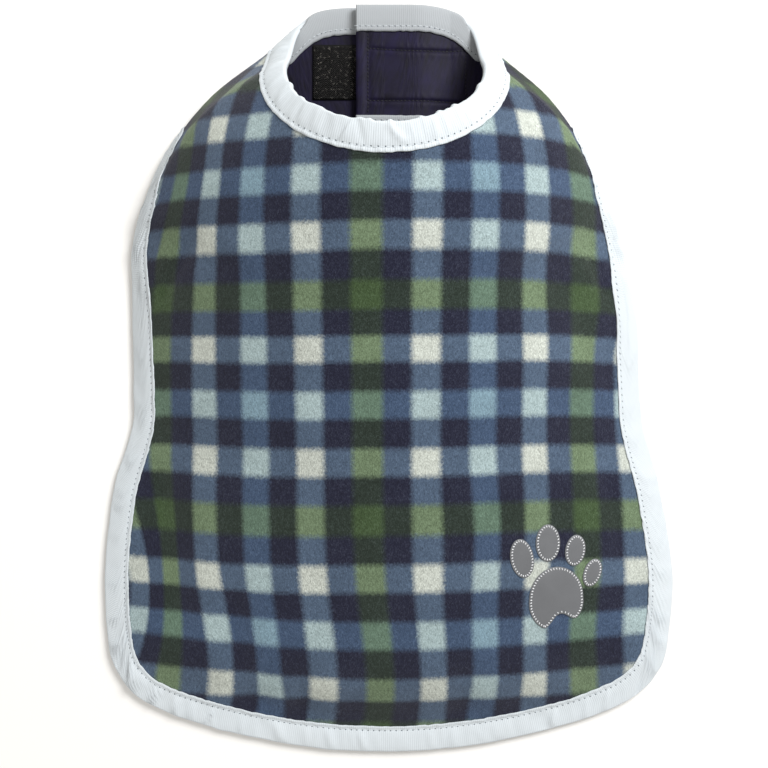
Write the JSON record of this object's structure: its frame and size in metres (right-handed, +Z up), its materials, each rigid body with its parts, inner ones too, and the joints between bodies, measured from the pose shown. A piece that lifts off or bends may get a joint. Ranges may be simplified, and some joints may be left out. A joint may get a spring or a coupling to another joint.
{
  "type": "dog winter coat",
  "caption": "Domed plaid fleece dog coat with nylon lining, ribbon-bound edges, standing neck ring closed by overlapping hook-and-loop chest tabs, and a reflective paw patch.",
  "frame": {"origin": "on the surface that the coat lies on, under the middle of its bounding box", "axes": "+X towards the right side of the coat seen from above, +Y from the hem towards the neck, +Z up"},
  "size_m": [0.3934, 0.5166, 0.0983],
  "materials": {
    "plaid_fleece": "brushed napped fleece printed or woven with a green, navy, white and pale blue plaid",
    "navy_nylon": "smooth plain-woven nylon with a slight sheen",
    "pale_ribbon": "ribbed matt ribbon",
    "black_tape": "matt hook-and-loop tape",
    "silver_film": "silver-grey reflective cloth"
  },
  "bodies": {
    "root": {"fleece_shell": "plaid_fleece", "nylon_lining": "navy_nylon", "neck_binding": "pale_ribbon", "edge_binding": "pale_ribbon", "hook_tape": "black_tape", "loop_tape": "black_tape", "paw_pad": "silver_film", "paw_toe_1": "silver_film", "paw_toe_2": "silver_film", "paw_toe_3": "silver_film", "paw_toe_4": "silver_film"}
  },
  "joints": []
}
